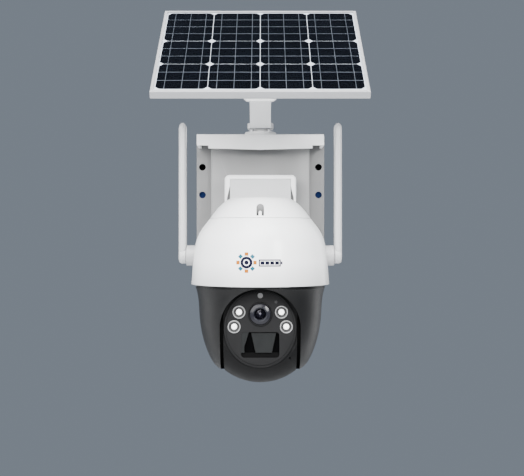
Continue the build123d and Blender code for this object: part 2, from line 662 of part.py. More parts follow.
RESET_AT = 7.0


def port_tray():
    """Recess behind the door, with the charging socket and the hole for the reset button."""
    tray = radial_block(50, 62, 14.5, PORT_Z - 7.8, PORT_Z + 7.8, 0) & spun(DOME, SHELL_WALL + 0.05)
    tray -= radial_block(53, 63, 11.5, PORT_Z - 5.6, PORT_Z + 5.6, 0)
    tray -= block(50.8, 54, CAMERA_Y - 8, CAMERA_Y + 1, PORT_Z - 1.65, PORT_Z + 1.65)
    tray += block(50.8, 53, CAMERA_Y - 6.8, CAMERA_Y - 0.2, PORT_Z - 0.35, PORT_Z + 0.35)
    y = CAMERA_Y + RESET_AT
    tray -= rod(2 + FIT, (49, y, PORT_Z), (54, y, PORT_Z))
    return at_angle(tray, PORT_ANGLE)


def port_cover():
    """Door cut from the housing's own curve, with the middle knuckle of its hinge."""
    half, low, high = PORT_DOOR
    cover = dome_wall() & radial_block(50, 75, half, low, high, PORT_ANGLE)
    cover -= radial_block(50, 59.7, half + 1, high - 1.6, high + 1, PORT_ANGLE)
    for start, end in ((-HINGE_REACH, -HINGE_KNUCKLE), (HINGE_KNUCKLE, HINGE_REACH)):
        cover -= hinge_rod(HINGE_R + PLAY, start - PLAY, end + PLAY)
    cover += hinge_rod(HINGE_R, PLAY - HINGE_KNUCKLE, HINGE_KNUCKLE - PLAY)
    return cover - hinge_rod(HINGE_PIN_R + FIT, -HINGE_KNUCKLE, HINGE_KNUCKLE)


def reset_button():
    y = CAMERA_Y + RESET_AT
    return at_angle(rod(2, (51.6, y, PORT_Z), (54.6, y, PORT_Z)), PORT_ANGLE)


def power_button():
    button = rod(5.5, (58, CAMERA_Y, PORT_Z), (66.4, CAMERA_Y, PORT_Z))
    button = fillet(button.edges().sort_by(Axis.X)[-1], 0.8)
    return at_angle(button, POWER_ANGLE)


# ---------------------------------------------------------------- pan head
def yoke_inside():
    return spun(YOKE, YOKE_WALL) + round_pan(0, DRUM_R - YOKE_WALL, -113, DECK_TOP - 2.5)


def yoke_shell():
    """Drum under the housing with two cheeks; an arch in front and behind frees the ball."""
    body = spun(YOKE) + round_pan(0, DRUM_R, YOKE[0][1], DECK_TOP)
    body -= yoke_inside()
    arch = rod(CHEEK_X, (0, -180, TILT_Z), (0, -20, TILT_Z))
    body -= arch + block(-CHEEK_X, CHEEK_X, -180, -20, -200, TILT_Z)
    body += round_pan(0, HUB_R, DECK_TOP - 1, GEAR_LOW) + round_pan(0, 14, GEAR_LOW, GEAR_LOW + 5)
    return body - round_pan(0, 8, DECK_TOP - 4, GEAR_LOW + 6)


TILT_GEAR_X = 42.5
TILT_CENTRES = (TILT_TEETH + TILT_PINION_TEETH) / 2
PINION_Z = TILT_Z + TILT_CENTRES


def cheek_plate(side):
    """Flat inner wall of a cheek, with the axle's bearing hole."""
    split = YOKE[0][1] - 1
    slab = block(CHEEK_X, CHEEK_X + CHEEK_PLATE, -160, -40, -200, -92)
    plate = slab & spun(YOKE, YOKE_WALL + 3 * PLAY) & block(-80, 80, -180, -20, -200, split)
    plate += slab & round_pan(0, DRUM_R - YOKE_WALL - 0.6, split, -92)
    plate += rod(9, (CHEEK_X, CAMERA_Y, TILT_Z), (CHEEK_X + 3.6, CAMERA_Y, TILT_Z))
    if side < 0:
        for y in (-8.2, 8.2):
            plate += rod(1.5, (CHEEK_X, CAMERA_Y + y, PINION_Z + 5), (48, CAMERA_Y + y, PINION_Z + 5))
    plate -= rod(AXLE_R + FIT, (CHEEK_X - 1, CAMERA_Y, TILT_Z), (CHEEK_X + 5, CAMERA_Y, TILT_Z))
    return plate if side > 0 else mirrored(plate)


def on_tilt_axis(part, z):
    """Lay a gear built on Z along -X, at the left cheek; its first tooth then points up."""
    return Pos(-TILT_GEAR_X, CAMERA_Y, z) * (Rot(0, -90, 0) * part)


def tilt_gear():
    gear = spur_gear(TILT_TEETH, 4, AXLE_R)
    return on_tilt_axis(gear, TILT_Z)


def tilt_pinion():
    half_pitch = 180 / TILT_PINION_TEETH
    wheel = Rot(0, 0, half_pitch) * spur_gear(TILT_PINION_TEETH, 4, 0)
    return on_tilt_axis(wheel + rod(2, (0, 0, 0), (0, 0, 8)), PINION_Z)


def tilt_motor():
    motor = rod(10, (-48, CAMERA_Y, PINION_Z), (-56.5, CAMERA_Y, PINION_Z))
    return motor - rod(2 + FIT, (-47, CAMERA_Y, PINION_Z), (-51.5, CAMERA_Y, PINION_Z))


# ---------------------------------------------------------------- camera ball
FACE_Y = CAMERA_Y - BALL_FRONT


def ball_solid(inset):
    half = BALL_HALF - inset
    sphere = Pos(0, CAMERA_Y, TILT_Z) * Sphere(BALL_R - inset)
    return sphere & block(-half, half, FACE_Y + inset, -30, -220, -80)


def tilt_axle(side):
    axle = rod(AXLE_R, (30, CAMERA_Y, TILT_Z), (48 if side < 0 else 43, CAMERA_Y, TILT_Z))
    axle += rod(9, (30, CAMERA_Y, TILT_Z), (BALL_HALF - BALL_WALL, CAMERA_Y, TILT_Z))
    axle -= rod(3.5, (29, CAMERA_Y, TILT_Z), (50, CAMERA_Y, TILT_Z))
    return axle if side > 0 else mirrored(axle)


def ball_wall():
    wall = ball_solid(0) - ball_solid(BALL_WALL)
    return wall - rod(AXLE_R, (-40, CAMERA_Y, TILT_Z), (40, CAMERA_Y, TILT_Z))


def ball_shell_front():
    front = ball_wall() - block(-60, 60, CAMERA_Y, -20, -230, -80)
    front -= face_oval(FACE_A + PLAY, FACE_C + PLAY, FACE_Y - 5, FACE_Y + 5)
    return front - face_rod(1.0, MIC_AT, FACE_Y - 1, FACE_Y + 5)


def ball_shell_rear():
    rear = ball_wall() & block(-60, 60, CAMERA_Y + 0.05, -20, -230, -80)
    for row in range(-2, 3):
        for column in range(-2, 3):
            x, z = 4.0 * column, TILT_Z - 20 + 4.0 * row
            rear -= rod(0.9, (x, -60, z), (x, -35, z))
    return rear


def face_plate():
    plate = face_oval(FACE_A, FACE_C, FACE_Y - FACE_PROUD, FACE_Y + 2.5)
    plate = fillet(plate.edges().sort_by(Axis.Y)[0], 0.8)
    inner_a, inner_c = FACE_A - FACE_RIM, FACE_C - FACE_RIM
    groove = face_oval(inner_a + 0.3, inner_c + 0.3, FACE_Y - FACE_PROUD - 1, FACE_Y - FACE_PROUD + 0.6)
    plate -= groove - face_oval(inner_a - 0.3, inner_c - 0.3, FACE_Y - FACE_PROUD - 2, FACE_Y)
    y0, y1 = FACE_Y - 5, FACE_Y + 5
    for at in LAMPS_AT:
        plate -= face_rod(LAMP_RING_R + FIT, at, y0, y1)
    plate -= face_rod(LENS_R + FIT, LENS_AT, y0, y1)
    plate -= face_rod(SENSOR_R + FIT, SENSOR_AT, y0, y1)
    plate -= face_rod(1.35, INDICATOR_AT, y0, y1)
    return plate - face_window(0, y0, y1)


def lamp_rings():
    y0, y1 = FACE_Y - FACE_PROUD - 0.4, FACE_Y + 2.5
    rings = []
    for at in LAMPS_AT:
        ring = face_rod(LAMP_RING_R, at, y0, y1) - face_rod(LAMP_RING_R - LAMP_RING_BAND, at, y0 - 1, y1 + 1)
        rings.append(ring)
    return rings


BOARD_Y = FACE_Y + 3.5


def lamps():
    """Domed emitters standing on the camera board."""
    out = []
    for at in LAMPS_AT:
        stem = face_rod(LAMP_R, at, FACE_Y - 0.2, BOARD_Y)
        dome = Pos(at[0], FACE_Y - 0.2, TILT_Z + at[1]) * Sphere(LAMP_R)
        out.append(stem + (dome & face_rod(LAMP_R, at, FACE_Y - 2.2, FACE_Y)))
    return out


def lens_barrel():
    y0 = FACE_Y - FACE_PROUD - 1.2
    barrel = face_rod(LENS_R, LENS_AT, y0, BOARD_Y)
    barrel = fillet(barrel.edges().sort_by(Axis.Y)[0], 0.8)
    barrel -= face_rod(LENS_R - LENS_LIP, LENS_AT, y0 - 1, y0 + 4)
    return barrel - face_rod(5.5, LENS_AT, y0 - 1, BOARD_Y + 1)


def lens_glass():
    """Front element: a shallow dome of glass seated in the barrel's mouth."""
    y0 = FACE_Y - FACE_PROUD - 1.2
    radius = LENS_R - LENS_LIP - 0.02
    bulge = 13.0
    centre = y0 - 0.6 + bulge
    ball = Pos(0, centre, TILT_Z + LENS_AT[1]) * Sphere(bulge)
    return ball & face_rod(radius, LENS_AT, y0 - 3, y0 + 4)


def camera_board():
    plate = block(-30, 30, BOARD_Y, BOARD_Y + 1.6, TILT_Z - 30, TILT_Z + 34)
    plate &= ball_solid(BALL_WALL + 0.3) + block(-30, 30, BOARD_Y, BOARD_Y + 1.6, TILT_Z - 20, TILT_Z + 20)
    plate += block(-9, 9, BOARD_Y + 1.6, BOARD_Y + 9, TILT_Z + 4, TILT_Z + 22)
    return plate


def pir_lens():
    """Motion-sensor window: a raised facet and side sill standing in a deep dark tray with a sloping foot."""
    front = FACE_Y - FACE_PROUD
    back = FACE_Y + 2.5
    inset = 0.1
    lens = face_window(inset, front + 3.2, back)
    stands = face_prism(WINDOW_FACET, front + 0.9, back) + face_prism(WINDOW_SILL, front + 0.3, back)
    left, right, low, _ = WINDOW_BOX
    shelf = low + 4.7
    foot = [(front + 0.8, low + inset), (front + 2.4, shelf), (back, shelf), (back, low + inset)]
    foot = make_face(Polyline(*[(left, y, TILT_Z + z) for y, z in foot], close=True))
    stands += extrude(foot, right - left, dir=(1, 0, 0))
    return lens + (stands & face_window(inset, front - 1, back))


def light_sensor():
    return face_rod(SENSOR_R, SENSOR_AT, FACE_Y - FACE_PROUD + 0.2, FACE_Y + 2.5)


def indicator_lamp():
    return face_rod(1.3, INDICATOR_AT, FACE_Y - FACE_PROUD + 0.2, FACE_Y + 2.5)


# ---------------------------------------------------------------- assembly
def all_nodes():
    nodes = {
        "wall_plate": wall_plate(), "roof_hood": roof_hood(), "neck_arm": neck_arm(),
        "neck_cover": neck_cover(), "arm_screws": arm_screws(),
        "swivel_base": swivel_base(), "swivel_screws": swivel_screws(), "swivel_bolt": swivel_bolt(),
        "swivel_arm": swivel_arm(), "tilt_bolt": tilt_bolt(), "tilt_knob": tilt_knob(),
        "upper_shell": upper_shell(), "top_cap": top_cap(), "chassis_plate": chassis_plate(),
        "pan_bearing": pan_bearing(), "pan_motor": pan_motor(), "pan_pinion": pan_pinion(),
        "pan_gear": pan_gear(), "main_board": main_board(), "battery_tray": battery_tray(),
        "battery_cells": battery_cells(), "port_tray": port_tray(), "port_cover": port_cover(),
        "power_button": power_button(), "reset_button": reset_button(),
        "yoke_shell": yoke_shell(), "tilt_motor": tilt_motor(), "tilt_pinion": tilt_pinion(),
        "tilt_gear": tilt_gear(), "tilt_axles": [tilt_axle(-1), tilt_axle(1)],
        "ball_shell_front": ball_shell_front(), "ball_shell_rear": ball_shell_rear(),
        "face_plate": face_plate(), "lamp_rings": lamp_rings(), "lamps": lamps(),
        "lens_barrel": lens_barrel(), "lens_glass": lens_glass(), "camera_board": camera_board(),
        "pir_lens": pir_lens(), "light_sensor": light_sensor(), "indicator_lamp": indicator_lamp(),
    }
    for name, side in (("left", -1), ("right", 1)):
        nodes["antenna_base_" + name] = antenna_base(side)
        nodes["antenna_" + name] = antenna(side)
        nodes["cheek_plate_" + name] = cheek_plate(side)
    flat = {
        "panel_bracket": panel_bracket(), "bracket_screws": bracket_screws(),
        "panel_rail_near": long_rail(), "panel_rail_far": Rot(0, 0, 180) * long_rail(),
        "panel_rail_right": short_rail(), "panel_rail_left": Rot(0, 0, 180) * short_rail(),
        "panel_corner_keys": corner_keys(), "panel_glass": laminate(GLASS_LOW, GLASS_LOW + GLASS_THICK),
        "panel_backsheet": laminate(BACKSHEET_TOP - 0.6, BACKSHEET_TOP), "solar_cells": solar_cells(),
        "cell_ribbons": cell_ribbons(), "junction_box": junction_box(), "lead_gland": lead_gland(),
    }
    for name, part in flat.items():
        nodes[name] = [on_panel(one) for one in part] if isinstance(part, list) else on_panel(part)
    return nodes


def main():
    os.makedirs("parts", exist_ok=True)
    for name, part in all_nodes().items():
        solids = part if isinstance(part, list) else [part]
        whole = Compound(children=[s for one in solids for s in one.solids()])
        export_step(whole if len(whole.solids()) > 1 else whole.solids()[0], f"parts/{name}.step")


main()
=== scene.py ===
import math

import bmesh
import bpy
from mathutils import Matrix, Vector


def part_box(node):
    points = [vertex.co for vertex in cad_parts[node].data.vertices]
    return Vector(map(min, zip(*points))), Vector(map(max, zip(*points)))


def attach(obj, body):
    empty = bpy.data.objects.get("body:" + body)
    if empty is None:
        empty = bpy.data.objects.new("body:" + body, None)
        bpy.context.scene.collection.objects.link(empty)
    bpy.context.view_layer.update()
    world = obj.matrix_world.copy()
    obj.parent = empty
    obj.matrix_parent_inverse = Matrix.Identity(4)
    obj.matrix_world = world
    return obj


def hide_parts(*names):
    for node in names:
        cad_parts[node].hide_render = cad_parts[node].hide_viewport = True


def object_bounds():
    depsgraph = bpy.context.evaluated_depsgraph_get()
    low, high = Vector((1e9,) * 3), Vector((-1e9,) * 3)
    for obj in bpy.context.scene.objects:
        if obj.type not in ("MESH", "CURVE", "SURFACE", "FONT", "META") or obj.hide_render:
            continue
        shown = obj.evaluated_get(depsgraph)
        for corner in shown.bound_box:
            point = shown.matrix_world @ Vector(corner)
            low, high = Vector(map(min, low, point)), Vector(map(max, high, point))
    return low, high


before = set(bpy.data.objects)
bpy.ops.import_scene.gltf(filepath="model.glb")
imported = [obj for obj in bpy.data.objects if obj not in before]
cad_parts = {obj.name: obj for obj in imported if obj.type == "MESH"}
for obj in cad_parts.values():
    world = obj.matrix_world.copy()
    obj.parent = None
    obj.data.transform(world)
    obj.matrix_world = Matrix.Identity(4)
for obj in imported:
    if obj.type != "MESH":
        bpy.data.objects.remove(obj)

CAD_BOX = [list(corner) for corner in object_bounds()]
MM = 0.001
PANEL_SLOPE = 39.0           # degrees, solar panel above level

# ---------------------------------------------------------------- places read from the frame
FACE_LOW, FACE_HIGH = (Vector(v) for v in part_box("face_plate"))
GLASS_LOW, GLASS_HIGH = (Vector(v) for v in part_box("lens_glass"))
RING_LOW, RING_HIGH = (Vector(v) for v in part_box("lamp_rings"))
SHELL_LOW, SHELL_HIGH = (Vector(v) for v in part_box("upper_shell"))
AXIS_Y = (SHELL_LOW.y + SHELL_HIGH.y) / 2
TILT_Z = (FACE_LOW.z + FACE_HIGH.z) / 2
FACE_Y = FACE_LOW.y


# ---------------------------------------------------------------- node materials
MATERIALS = {}


class Maker:
    """A material being built and kept in MATERIALS: short names for its tree, links and shader."""

    def __init__(self, name):
        self.material = bpy.data.materials.new(name)
        self.material.use_nodes = True
        MATERIALS[name] = self.material
        self.tree = self.material.node_tree
        self.shader = self.tree.nodes["Principled BSDF"]
        self.place = self.add("ShaderNodeTexCoord").outputs["Object"]

    def add(self, kind, **values):
        node = self.tree.nodes.new(kind)
        for key, value in values.items():
            setattr(node, key, value)
        return node

    def link(self, source, target):
        self.tree.links.new(source, target)

    def noise(self, scale, detail=3.0, roughness=0.55, stretch=None):
        """Noise with features of about 1 / scale metres; stretch scales its axes."""
        node = self.add("ShaderNodeTexNoise")
        node.inputs["Scale"].default_value = scale
        node.inputs["Detail"].default_value = detail
        node.inputs["Roughness"].default_value = roughness
        place = self.place
        if stretch:
            mapping = self.add("ShaderNodeMapping")
            mapping.inputs["Scale"].default_value = stretch
            self.link(place, mapping.inputs["Vector"])
            place = mapping.outputs["Vector"]
        self.link(place, node.inputs["Vector"])
        return node.outputs["Fac"]

    def spread(self, value, low, high, start=0.3, end=0.7):
        node = self.add("ShaderNodeMapRange")
        node.inputs["From Min"].default_value = start
        node.inputs["From Max"].default_value = end
        node.inputs["To Min"].default_value = low
        node.inputs["To Max"].default_value = high
        self.link(value, node.inputs["Value"])
        return node.outputs["Result"]

    def mix(self, share, first, second):
        """Colour between first and second; each is a colour or another node's output."""
        node = self.add("ShaderNodeMix", data_type="RGBA")
        for socket, value in ((node.inputs[0], share), (node.inputs[6], first), (node.inputs[7], second)):
            if isinstance(value, bpy.types.NodeSocket):
                self.link(value, socket)
            else:
                socket.default_value = value if isinstance(value, float) else (*value[:3], 1.0)
        return node.outputs[2]

    def bump(self, height, depth, strength=1.0):
        node = self.add("ShaderNodeBump")
        node.inputs["Distance"].default_value = depth
        node.inputs["Strength"].default_value = strength
        self.link(height, node.inputs["Height"])
        self.link(node.outputs["Normal"], self.shader.inputs["Normal"])
        return node

    def set(self, **values):
        for key, value in values.items():
            self.shader.inputs[key.replace("_", " ")].default_value = value


def tint(colour, factor):
    return tuple(min(1.0, c * factor) for c in colour[:3])


def moulded(name, colour, roughness, grain, depth, drift, coat=0.0, wear=1.12, shine=0.5, shaded=None):
    """Moulded plastic or paint: fine grain, slow colour drift, patchy gloss and rubbed edges.

    shaded is (axis, start, end, colour): painted light and shade, the colour it turns to along an object
    axis, from start to end.
    """
    m = Maker(name)
    slow = m.spread(m.noise(18.0, 2.0), 0.0, 1.0)
    base = m.mix(slow, tint(colour, 1.0 - drift), tint(colour, 1.0 + drift / 2))
    rub = m.add("ShaderNodeNewGeometry").outputs["Pointiness"]
    edge = m.spread(rub, 0.0, 0.6, 0.53, 0.62)
    body = m.mix(edge, base, tint(colour, wear))
    # Painted light and shade: the colour turns towards the given tone along one object axis.
    if shaded:
        axis, start, end, dark = shaded
        split = m.add("ShaderNodeSeparateXYZ")
        m.link(m.place, split.inputs[0])
        body = m.mix(m.spread(split.outputs[axis], 0.0, 1.0, start, end), body, dark)
    m.link(body, m.shader.inputs["Base Color"])
    gloss = m.spread(m.noise(140.0, 4.0), roughness - 0.025, roughness + 0.035)
    m.link(gloss, m.shader.inputs["Roughness"])
    m.bump(m.noise(grain, 2.0), depth)
    m.set(Coat_Weight=coat, Coat_Roughness=0.12, Specular_IOR_Level=shine)


def brushed_metal(name, colour, roughness, stretch=(40.0, 1.0, 1.0)):
    """Steel or alloy with fine drawn lines, small tonal drift and bright edges."""
    m = Maker(name)
    lines = m.noise(900.0, 3.0, 0.6, stretch)
    tone = m.mix(m.spread(m.noise(60.0), 0.0, 1.0), tint(colour, 0.9), tint(colour, 1.06))
    rub = m.add("ShaderNodeNewGeometry").outputs["Pointiness"]
    edged = m.mix(m.spread(rub, 0.0, 0.7, 0.52, 0.6), tone, tint(colour, 1.25))
    m.link(edged, m.shader.inputs["Base Color"])
    m.link(m.spread(lines, roughness - 0.08, roughness + 0.1), m.shader.inputs["Roughness"])
    m.bump(lines, 0.00001)
    m.set(Metallic=1.0)


def silicon_cells():
    """Blue-black silicon with hair-fine silver fingers across each strip and a slow drift of tone."""
    m = Maker("silicon_cells")
    slow = m.spread(m.noise(16.0, 3.0), 0.0, 1.0)
    drift = m.mix(slow, (0.0008, 0.0010, 0.0017), (0.0014, 0.0017, 0.0027))
    grain = m.mix(m.spread(m.noise(1500.0, 1.0), 0.0, 1.0, 0.6, 0.8), drift, (0.002, 0.0024, 0.0036))
    turned_place = m.add("ShaderNodeMapping")
    turned_place.inputs["Rotation"].default_value = (math.radians(-PANEL_SLOPE), 0.0, 0.0)
    m.link(m.place, turned_place.inputs["Vector"])
    wave = m.add("ShaderNodeTexWave", wave_type="BANDS", bands_direction="Y", wave_profile="SIN")
    wave.inputs["Scale"].default_value = 160.0
    m.link(turned_place.outputs["Vector"], wave.inputs["Vector"])
    fingers = m.spread(wave.outputs["Fac"], 0.0, 0.10, 0.9, 1.0)
    m.link(m.mix(fingers, grain, (0.008, 0.009, 0.011)), m.shader.inputs["Base Color"])
    m.link(m.spread(m.noise(300.0), 0.40, 0.5), m.shader.inputs["Roughness"])
    m.bump(wave.outputs["Fac"], 0.000004)
    m.set(Specular_IOR_Level=0.0)


def clear_glass(name, colour, index, shine, roughness, smudge):
    """Clear glass: see-through, with a gloss of its own colour and faint smudges in it."""
    m = Maker(name)
    m.tree.nodes.remove(m.shader)
    clear = m.add("ShaderNodeBsdfTransparent")
    clear.inputs["Color"].default_value = (*colour, 1.0)
    gloss = m.add("ShaderNodeBsdfGlossy")
    smear = m.noise(45.0, 4.0)
    m.link(m.mix(m.spread(smear, 0.0, 1.0), shine, tint(shine, 0.92)), gloss.inputs["Color"])
    m.link(m.spread(smear, roughness, roughness + smudge), gloss.inputs["Roughness"])
    wobble = m.add("ShaderNodeBump")
    wobble.inputs["Distance"].default_value = 0.000001
    m.link(m.noise(60.0, 2.0), wobble.inputs["Height"])
    m.link(wobble.outputs["Normal"], gloss.inputs["Normal"])
    fresnel = m.add("ShaderNodeFresnel")
    fresnel.inputs["IOR"].default_value = index
    outer = m.add("ShaderNodeMath", operation="SUBTRACT")
    outer.inputs[0].default_value = 1.0
    m.link(m.add("ShaderNodeNewGeometry").outputs["Backfacing"], outer.inputs[1])
    share = m.add("ShaderNodeMath", operation="MULTIPLY")
    m.link(fresnel.outputs["Fac"], share.inputs[0])
    m.link(outer.outputs[0], share.inputs[1])
    blend = m.add("ShaderNodeMixShader")
    m.link(share.outputs[0], blend.inputs[0])
    m.link(clear.outputs[0], blend.inputs[1])
    m.link(gloss.outputs[0], blend.inputs[2])
    m.link(blend.outputs[0], m.tree.nodes["Material Output"].inputs["Surface"])


def sensor_window():
    """Motion-sensor window: its raised facets that face straight ahead are milky grey; its slopes and tray
    are near black, as painted shade.
    """
    m = Maker("sensor_window")
    parts = m.add("ShaderNodeSeparateXYZ")
    m.link(m.place, parts.inputs[0])
    raised = m.add("ShaderNodeMath", operation="LESS_THAN")
    raised.inputs[1].default_value = FACE_Y + 1.1 * MM
    m.link(parts.outputs["Y"], raised.inputs[0])
    aim = m.add("ShaderNodeSeparateXYZ")
    m.link(m.add("ShaderNodeTexCoord").outputs["Normal"], aim.inputs[0])
    flat = m.add("ShaderNodeMath", operation="LESS_THAN")
    flat.inputs[1].default_value = -0.985
    m.link(aim.outputs["Y"], flat.inputs[0])
    unshaded_front = m.add("ShaderNodeMath", operation="MULTIPLY")
    m.link(raised.outputs[0], unshaded_front.inputs[0])
    m.link(flat.outputs[0], unshaded_front.inputs[1])
    grey = m.mix(m.spread(m.noise(120.0), 0.0, 1.0), (0.0135, 0.0142, 0.0144), (0.0152, 0.016, 0.0162))
    # Slopes and tray are painted near black: painted shade.
    m.link(m.mix(unshaded_front.outputs[0], (0.0008, 0.0008, 0.0009), grey), m.shader.inputs["Base Color"])
    m.link(m.spread(m.noise(260.0, 4.0), 0.30, 0.42), m.shader.inputs["Roughness"])
    m.bump(m.noise(1800.0), 0.00001)
    m.set(Specular_IOR_Level=0.02)


def lamp_resin():
    """Milky lamp dome: white and glowing, faintly cloudy."""
    m = Maker("lamp_resin")
    m.link(m.mix(m.spread(m.noise(900.0), 0.0, 1.0), (0.92, 0.92, 0.90), (1.0, 1.0, 0.98)),
           m.shader.inputs["Base Color"])
    m.link(m.spread(m.noise(300.0), 0.16, 0.26), m.shader.inputs["Roughness"])
    m.bump(m.noise(1500.0), 0.000004)
    m.set(Emission_Color=(1.0, 1.0, 1.0, 1.0), Emission_Strength=2.2, Coat_Weight=0.6)


def make_materials():
    """Every finish. Colours are set for this scene's strong lights, so some whites are mid greys; some
    parts get lighter or darker copies of one finish, as painted light and shade.
    """
    white = (0.84, 0.845, 0.845)
    # Painted shade: the housing white darkens towards its lower rim.
    moulded("white_shell", white, 0.36, 1800.0, 0.00002, 0.03, coat=0.25, wear=1.05,
            shaded=("Z", -0.086, -0.108, (0.52, 0.525, 0.525)))
    # Painted light: the neck arm gets a lighter copy of the housing white.
    moulded("white_arm_lit", (0.93, 0.93, 0.93), 0.34, 1800.0, 0.00002, 0.03, coat=0.3, wear=1.06)
    # Painted shade: the antennas get a darker copy of the housing white.
    moulded("antenna_white_shaded", (0.42, 0.425, 0.43), 0.34, 1800.0, 0.00002, 0.03, coat=0.2, wear=1.06)
    moulded("hinge_white", (0.36, 0.36, 0.365), 0.4, 1800.0, 0.00002, 0.04, wear=1.1)
    # Painted shade: the neck cover gets a greyer copy of the white, and its recessed parts turn dark.
    moulded("cover_grey_shaded", (0.56, 0.565, 0.57), 0.42, 1800.0, 0.00002, 0.04, wear=1.06,
            shaded=("Y", -0.0576, -0.0574, (0.08, 0.08, 0.08)))
    # Painted shade: the wall plate gets a darker copy of the hood's paint, and its flanges turn darker
    # still.
    moulded("bracket_paint_shaded", (0.28, 0.28, 0.278), 0.5, 900.0, 0.00005, 0.05, wear=1.2,
            shaded=("Y", -0.012, -0.007, (0.165, 0.165, 0.164)))
    # Painted light: the hood, swivel parts and panel bracket get a lighter copy of the same paint.
    moulded("hood_paint_lit", (0.88, 0.88, 0.875), 0.45, 900.0, 0.00005, 0.05, wear=1.15)
    moulded("frame_paint", (0.29, 0.295, 0.305), 0.38, 1200.0, 0.00002, 0.03, coat=0.2)
    moulded("dark_shell", (0.0045, 0.0045, 0.0047), 0.45, 2600.0, 0.00003, 0.12, wear=1.8, shine=0.25)
    moulded("dark_ball", (0.006, 0.006, 0.0062), 0.5, 2600.0, 0.00003, 0.12, wear=1.8, shine=0.05)
    moulded("dark_face", (0.0076, 0.0076, 0.0079), 0.5, 2600.0, 0.00003, 0.08, wear=1.5, shine=0.1)
    moulded("black_trim", (0.0015, 0.0015, 0.0017), 0.45, 2600.0, 0.00002, 0.15, wear=2.5, shine=0.15)
    moulded("ring_white", (0.27, 0.27, 0.27), 0.35, 1500.0, 0.00001, 0.03, shine=0.3)
    moulded("cup_grey", (0.016, 0.016, 0.0165), 0.35, 1500.0, 0.00001, 0.08, shine=0.3)
    moulded("chip_grey", (0.5, 0.5, 0.5), 0.4, 1500.0, 0.00001, 0.05)
    moulded("sensor_grey", (0.14, 0.14, 0.14), 0.35, 1500.0, 0.00001, 0.05, coat=0.4)
    moulded("indicator_dark", (0.03, 0.03, 0.031), 0.35, 1500.0, 0.00001, 0.05, shine=0.3)
    moulded("lens_ring", (0.032, 0.033, 0.035), 0.35, 1500.0, 0.00001, 0.06, shine=0.3)
    moulded("lens_pupil", (0.0035, 0.0035, 0.0055), 0.15, 1500.0, 0.000002, 0.1, shine=0.12)
    # Painted light: the coated rim of the front glass turns lighter towards its top.
    moulded("lens_coating", (0.0065, 0.0065, 0.0085), 0.2, 1500.0, 0.000002, 0.1, wear=1.3, shine=0.2,
            shaded=("Z", -0.155, -0.139, (0.015, 0.015, 0.019)))
    moulded("lens_coating_ring", (0.012, 0.013, 0.018), 0.2, 1500.0, 0.000002, 0.1, wear=1.3, shine=0.2)
    moulded("lens_centre", (0.045, 0.045, 0.055), 0.2, 1500.0, 0.000005, 0.1, coat=0.5)
    # Painted shade in the notch, lighter towards the notch's top.
    moulded("notch_painted_shade", (0.012, 0.012, 0.012), 0.5, 1500.0, 0.00002, 0.1,
            shaded=("Z", -0.0405, -0.0325, (0.17, 0.17, 0.17)))
    # Painted shade for the gap between the ball and the cheeks.
    moulded("gap_shade_black", (0.0015, 0.0015, 0.0015), 0.9, 3000.0, 0.00008, 0.3, shine=0.0)
    moulded("seal_black", (0.0008, 0.0008, 0.0009), 0.8, 1400.0, 0.00004, 0.2, shine=0.0)
    moulded("seal_navy", (0.004, 0.011, 0.045), 0.7, 1400.0, 0.00004, 0.2, shine=0.05)
    moulded("backsheet", (0.42, 0.425, 0.44), 0.45, 500.0, 0.00003, 0.03)
    moulded("knob_black", (0.008, 0.008, 0.0085), 0.55, 1400.0, 0.00006, 0.12, wear=2.5)
    moulded("rubber", (0.010, 0.010, 0.0105), 0.7, 1400.0, 0.00006, 0.15, wear=1.8)
    moulded("gear_resin", (0.62, 0.59, 0.50), 0.5, 1200.0, 0.00003, 0.05)
    moulded("board_green", (0.015, 0.10, 0.045), 0.4, 900.0, 0.00005, 0.15)
    moulded("cell_wrap", (0.03, 0.12, 0.32), 0.32, 900.0, 0.00001, 0.06, coat=0.3)
    moulded("badge_navy", (0.0012, 0.0014, 0.012), 0.5, 900.0, 0.00001, 0.05, shine=0.08)
    moulded("badge_amber", (0.30, 0.095, 0.003), 0.5, 900.0, 0.00001, 0.05, shine=0.08)
    moulded("badge_teal", (0.002, 0.075, 0.12), 0.5, 900.0, 0.00001, 0.05, shine=0.08)
    moulded("badge_white", (0.85, 0.85, 0.87), 0.4, 900.0, 0.00001, 0.03)
    brushed_metal("steel", (0.52, 0.52, 0.53), 0.32)
    brushed_metal("alloy", (0.66, 0.67, 0.69), 0.38, (1.0, 30.0, 1.0))
    brushed_metal("ribbon", (0.16, 0.17, 0.19), 0.45, (1.0, 1.0, 30.0))
    silicon_cells()
    clear_glass("panel_glass", (0.97, 0.985, 1.0), 1.15, (1.0, 1.0, 1.0), 0.01, 0.02)
    clear_glass("lens_glass", (0.98, 0.97, 1.0), 1.2, (0.3, 0.3, 0.33), 0.12, 0.03)
    sensor_window()
    lamp_resin()


make_materials()

